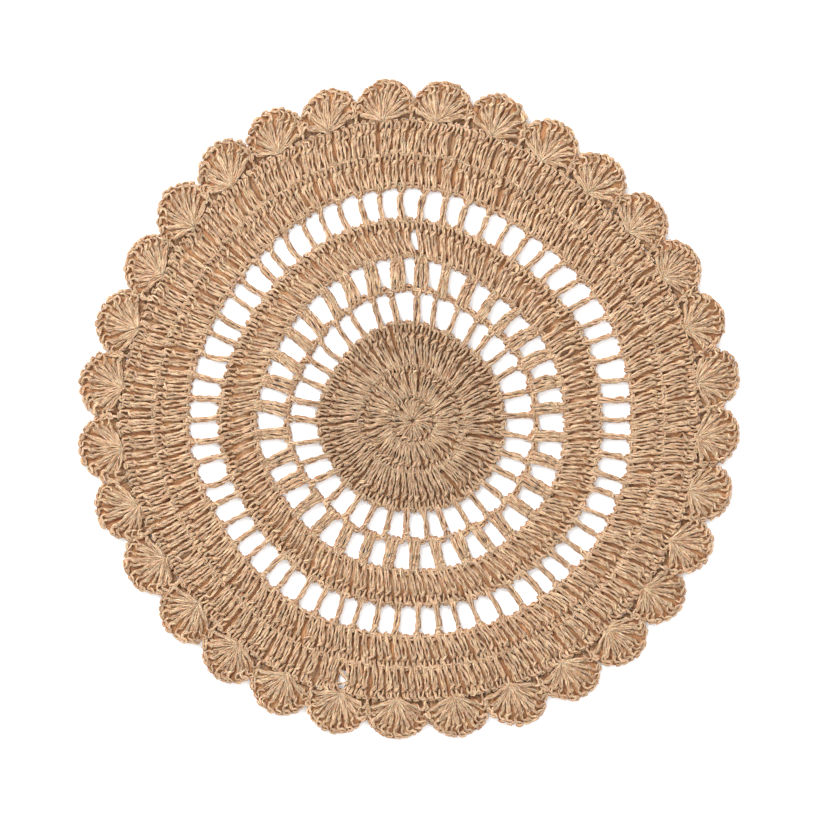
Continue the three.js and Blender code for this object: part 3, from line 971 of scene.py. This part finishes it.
def add_node(tree, kind, settings, links=()):
    """Adds a node. Each setting is one of its properties or, by name or number, the value of one of its
    sockets, and each link is a socket and what feeds it."""
    node = tree.nodes.new(kind)
    for name, value in settings.items():
        if isinstance(name, str) and hasattr(node, name):
            setattr(node, name, value)
        else:
            node.inputs[name].default_value = value
    for name, source in dict(links).items():
        tree.links.new(source, node.inputs[name])
    return node


def new_material(name, inputs):
    """A new material and its shader, with these values on the shader's inputs."""
    material = bpy.data.materials.new(name)
    material.use_nodes = True
    shader = material.node_tree.nodes["Principled BSDF"]
    for socket, value in inputs.items():
        shader.inputs[socket].default_value = value
    return material, shader


def twine_material():
    """Two-ply abaca twine, undyed and loosely twisted. Fine pale fibres run along the yarn with brown
    between them, flecked straw and faintly pink; the pale streaks are partly painted highlight and the
    brown partly painted shade between fibres. Painted shade darkens the groove between the two plies,
    and lengths of yarn are lighter or darker, all of it darker in the close middle of the mat. Painted
    shade also darkens the strands inside, away from the mat's two faces, which stay paler. It is matt,
    short fuzz lightens its edges, and a little light passes through it, which warms the shade between
    strands."""
    material, shader = new_material("abaca_twine", {
        "Roughness": 0.7,
        "Specular IOR Level": 0.25,
        "Subsurface Weight": 0.4,
        "Subsurface Radius": (1.0, 0.45, 0.2),
        "Subsurface Scale": 0.9 * MM,
        "Sheen Weight": 0.15,
        "Sheen Roughness": 0.5,
        "Sheen Tint": to_linear("#fff4e6"),
    })
    tree = material.node_tree

    # The yarn's own map, wrapped round so that it has no seam.
    yarn_map = add_node(tree, "ShaderNodeUVMap", {"uv_map": "yarn"})
    split = add_node(tree, "ShaderNodeSeparateXYZ", {}, {"Vector": yarn_map.outputs["UV"]})
    around = add_node(tree, "ShaderNodeMath", {"operation": "MULTIPLY", 1: TAU}, {
        0: split.outputs["X"],
    })
    cosine = add_node(tree, "ShaderNodeMath", {"operation": "COSINE"}, {0: around.outputs[0]})
    sine = add_node(tree, "ShaderNodeMath", {"operation": "SINE"}, {0: around.outputs[0]})
    drawn_out = add_node(tree, "ShaderNodeMath", {"operation": "MULTIPLY", 1: 1 / FIBRE_RUN}, {
        0: split.outputs["Y"],
    })
    wrapped = add_node(tree, "ShaderNodeCombineXYZ", {}, {
        "X": cosine.outputs[0], "Y": sine.outputs[0], "Z": drawn_out.outputs[0],
    })

    # Pale fibres, straw or faintly pink, with brown between them: partly the fibres' own colour, partly
    # painted highlight on the fibres and painted shade between them.
    fibres = add_node(tree, "ShaderNodeTexNoise", {
        "Scale": FIBRE_WIDTHS, "Detail": 2.0, "Roughness": 0.65,
    }, {"Vector": wrapped.outputs[0]})
    streaks = add_node(tree, "ShaderNodeMapRange", {"From Min": 0.3, "From Max": 0.68}, {
        0: fibres.outputs["Fac"],
    })
    hue = add_node(tree, "ShaderNodeTexNoise", {"Scale": 0.9, "Detail": 1.0}, {
        "Vector": wrapped.outputs[0],
    })
    pink = add_node(tree, "ShaderNodeMapRange", {"From Min": 0.35, "From Max": 0.65}, {
        0: hue.outputs["Fac"],
    })
    pale = add_node(tree, "ShaderNodeMix", {
        "data_type": "RGBA", 6: to_linear("#d8c09c"), 7: to_linear("#dabb9e"),
    }, {0: pink.outputs[0]})
    straw = add_node(tree, "ShaderNodeMix", {"data_type": "RGBA", 6: to_linear("#8a5833")}, {
        0: streaks.outputs[0], 7: pale.outputs[2],
    })

    # Painted shade in the groove between the plies: a cosine of twice the way round, which peaks there.
    twice = add_node(tree, "ShaderNodeMath", {"operation": "MULTIPLY", 1: 2.0}, {0: around.outputs[0]})
    shifted = add_node(tree, "ShaderNodeMath", {"operation": "SUBTRACT", 1: 2 * TAU * PLY_LINE}, {
        0: twice.outputs[0],
    })
    groove = add_node(tree, "ShaderNodeMath", {"operation": "COSINE"}, {0: shifted.outputs[0]})
    ply_groove_shade = add_node(tree, "ShaderNodeMapRange", {
        "From Min": 0.5, "From Max": 1.0, "To Min": 1.0, "To Max": 0.85,
    }, {0: groove.outputs[0]})

    # Lengths of yarn that are lighter or darker, and the darker middle of the mat.
    tone = add_node(tree, "ShaderNodeTexNoise", {
        "noise_dimensions": "1D", "Scale": 1 / TONE_RUN, "Detail": 2.0,
    }, {"W": split.outputs["Y"]})
    lighter = add_node(tree, "ShaderNodeMapRange", {
        "From Min": 0.3, "From Max": 0.7, "To Min": 0.73, "To Max": 1.09,
    }, {0: tone.outputs["Fac"]})
    shade = add_node(tree, "ShaderNodeMath", {"operation": "MULTIPLY"}, {
        0: ply_groove_shade.outputs[0], 1: lighter.outputs[0],
    })
    place_at = add_node(tree, "ShaderNodeTexCoord", {})
    out = add_node(tree, "ShaderNodeVectorMath", {"operation": "LENGTH"}, {
        0: place_at.outputs["Object"],
    })
    # The close middle of the mat is darker.
    middle_darkening = add_node(tree, "ShaderNodeMapRange", {
        "From Min": DISC_HEADS * MM, "From Max": CHAIN_RING * MM, "To Min": 0.86, "To Max": 1.0,
    }, {0: out.outputs["Value"]})
    shaded = add_node(tree, "ShaderNodeMath", {"operation": "MULTIPLY"}, {
        0: shade.outputs[0], 1: middle_darkening.outputs[0],
    })

    # Painted shade on the strands inside the mat, by their distance from the darkest level; the two
    # faces stay paler.
    spot = add_node(tree, "ShaderNodeSeparateXYZ", {}, {"Vector": place_at.outputs["Object"]})
    above = add_node(tree, "ShaderNodeMath", {"operation": "SUBTRACT", 1: DARK_LEVEL * MM}, {
        0: spot.outputs["Z"],
    })
    depth = add_node(tree, "ShaderNodeMath", {"operation": "ABSOLUTE"}, {0: above.outputs[0]})
    outer = add_node(tree, "ShaderNodeMapRange", {
        "From Min": DEPTH_SHADE_THINS * MM, "From Max": DEPTH_SHADE_GONE * MM,
    }, {0: depth.outputs[0]})
    # The painted shade's warm tint, full near the darkest level and white at the faces.
    depth_shade = add_node(tree, "ShaderNodeMix", {
        "data_type": "RGBA", 6: to_linear("#e4c4a5"), 7: to_linear("#ffffff"),
    }, {0: outer.outputs[0]})
    lit = add_node(tree, "ShaderNodeVectorMath", {"operation": "SCALE"}, {
        0: straw.outputs[2], 3: shaded.outputs[0],
    })
    colour = add_node(tree, "ShaderNodeVectorMath", {"operation": "MULTIPLY"}, {
        0: lit.outputs[0], 1: depth_shade.outputs[2],
    })
    tree.links.new(colour.outputs[0], shader.inputs["Base Color"])

    # Fibres stand up from the surface, and the line between the plies lies in it.
    raised = add_node(tree, "ShaderNodeMath", {"operation": "MULTIPLY_ADD", 1: -0.3}, {
        0: groove.outputs[0], 2: fibres.outputs["Fac"],
    })
    bump = add_node(tree, "ShaderNodeBump", {"Strength": 0.75, "Distance": 0.3 * MM}, {
        "Height": raised.outputs[0],
    })
    tree.links.new(bump.outputs[0], shader.inputs["Normal"])
    return material


def card_material():
    """Matt white card, as a plain ground that shows only soft shade."""
    material, _ = new_material("white_card", {"Base Color": to_linear("#fafafa"), "Roughness": 0.9})
    return material


def add_floor():
    """A flat square of card under the mat, wide enough to fill every view."""
    half = 1.6
    corners = [(-half, -half, 0), (half, -half, 0), (half, half, 0), (-half, half, 0)]
    mesh = bpy.data.meshes.new("floor")
    mesh.from_pydata(corners, [], [(0, 1, 2, 3)])
    mesh.materials.append(card_material())
    floor = add_object("floor", mesh)


def add_area_light(name, place_at, size, power):
    """A square soft light that looks at the mat's middle."""
    light = bpy.data.lights.new(name, "AREA")
    light.size = size
    light.energy = power
    lamp = add_object(name, light)
    lamp.location = place_at
    x, y, z = -np.array(place_at)
    lamp.rotation_euler = (np.arctan2(np.hypot(x, y), -z), 0, np.arctan2(y, x) - np.pi / 2)


def add_lights():
    """A soft key from the upper left, and a pale even sky."""
    add_area_light("key", place_at=(-1.1, 1.3, 1.6), size=0.8, power=52)
    world = bpy.data.worlds.new("studio")
    world.use_nodes = True
    sky = world.node_tree.nodes["Background"]
    sky.inputs["Color"].default_value = to_linear("#ffffff")
    sky.inputs["Strength"].default_value = 1.44
    bpy.context.scene.world = world
    bpy.context.scene.view_settings.view_transform = "Standard"


def add_camera():
    """Straight above, from far off, with as much of the picture beside the mat as in the photo."""
    mat_width, mat_pixels, frame_pixels = 0.380, 662, 818
    distance = 3.0
    span = mat_width * frame_pixels / mat_pixels
    camera = bpy.data.cameras.new("camera")
    camera.sensor_fit = "HORIZONTAL"
    camera.sensor_width = 36
    camera.lens = camera.sensor_width * distance / span
    view = add_object("camera", camera)
    view.location = (0, 0, distance)
    bpy.context.scene.camera = view


twine = twine_material()
yarns = make_yarns(twine)
bed = make_bed(twine)
add_floor()
add_lights()
add_camera()
